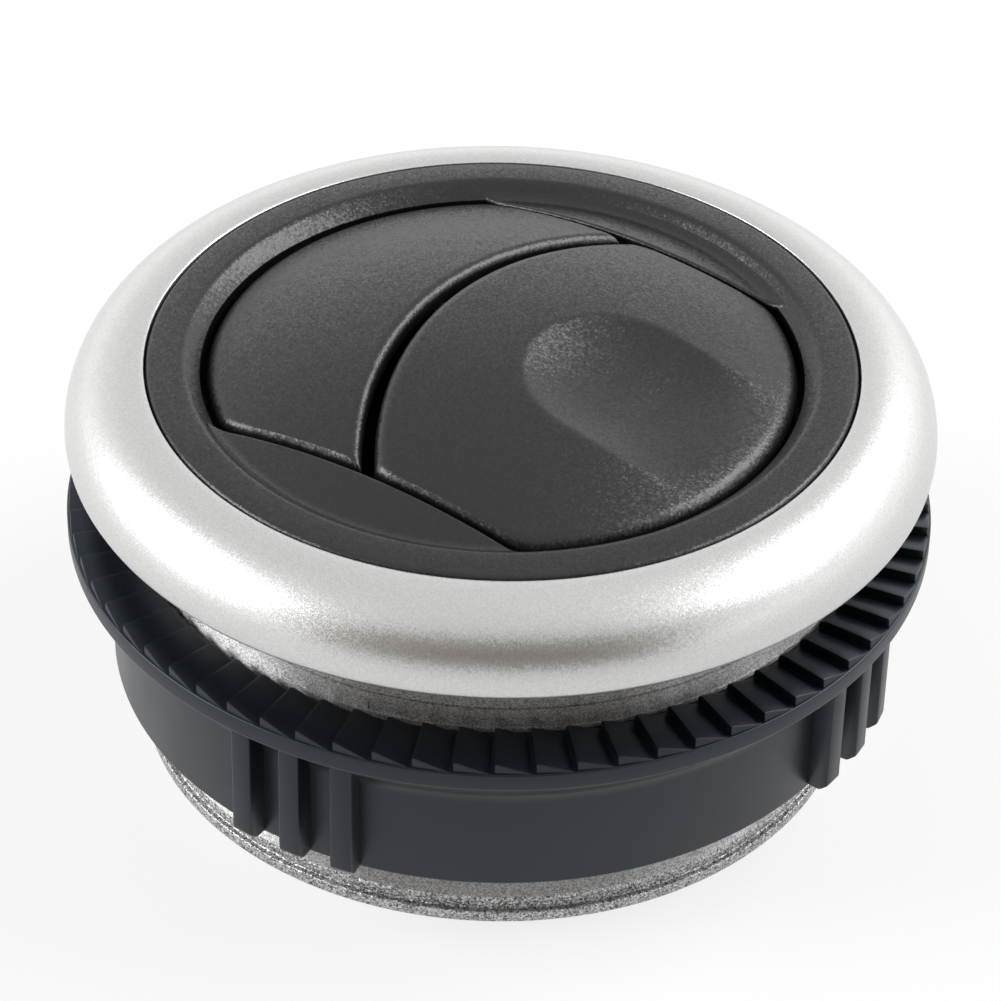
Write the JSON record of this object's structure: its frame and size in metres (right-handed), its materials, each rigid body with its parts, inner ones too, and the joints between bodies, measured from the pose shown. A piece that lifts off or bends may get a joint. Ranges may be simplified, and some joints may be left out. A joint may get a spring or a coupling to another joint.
{
  "type": "round air outlet vent",
  "caption": "Round panel air outlet with a silver bezel on a threaded tube, a turning black face whose two linked flaps close it, and a toothed clamp nut.",
  "frame": {"origin": "centre of the tube's rear end, on which the vent stands", "axes": "+Z along the tube axis and out through the face, Y along the flap hinges, X across the flaps from the crescent flap to the thumb flap"},
  "size_m": [0.0948, 0.0948, 0.0505],
  "materials": {
    "silver_paint": "satin silver metallic paint on moulded ABS",
    "black_grain": "fine spark-grained charcoal ABS",
    "black_satin": "smooth satin black moulding"
  },
  "bodies": {
    "housing": {"housing": "silver_paint"},
    "rotor": {"rotor": "black_grain"},
    "thumb_flap": {"thumb_flap": "black_grain"},
    "crescent_flap": {"crescent_flap": "black_grain"},
    "tie_link": {"tie_link": "black_satin"},
    "clamp_nut": {"clamp_nut": "black_satin"}
  },
  "joints": [
    {"name": "face_turn", "type": "hinge", "parent": "housing", "child": "rotor", "pos_m": [0, 0, 0.0457], "axis": [0, 0, 1], "continuous": true},
    {"name": "thumb_flap_hinge", "type": "hinge", "parent": "rotor", "child": "thumb_flap", "pos_m": [0.0104, 0, 0.0422], "axis": [0, 1, 0], "range_deg": [0, 80]},
    {"name": "crescent_flap_hinge", "type": "hinge", "parent": "rotor", "child": "crescent_flap", "pos_m": [-0.0104, 0, 0.0422], "axis": [0, 1, 0], "range_deg": [0, 80]},
    {"name": "tie_link_pivot", "type": "hinge", "parent": "thumb_flap", "child": "tie_link", "pos_m": [0.0154, 0, 0.0362], "axis": [0, 1, 0], "range_deg": [-80, 0]},
    {"name": "nut_travel", "type": "slide", "parent": "housing", "child": "clamp_nut", "axis": [0, 0, 1], "range_m": [-0.0075, 0.0075]}
  ],
  "couplings": [
    {"joint": "crescent_flap_hinge", "follows": "thumb_flap_hinge", "ratio": 1},
    {"joint": "tie_link_pivot", "follows": "thumb_flap_hinge", "ratio": -1}
  ]
}
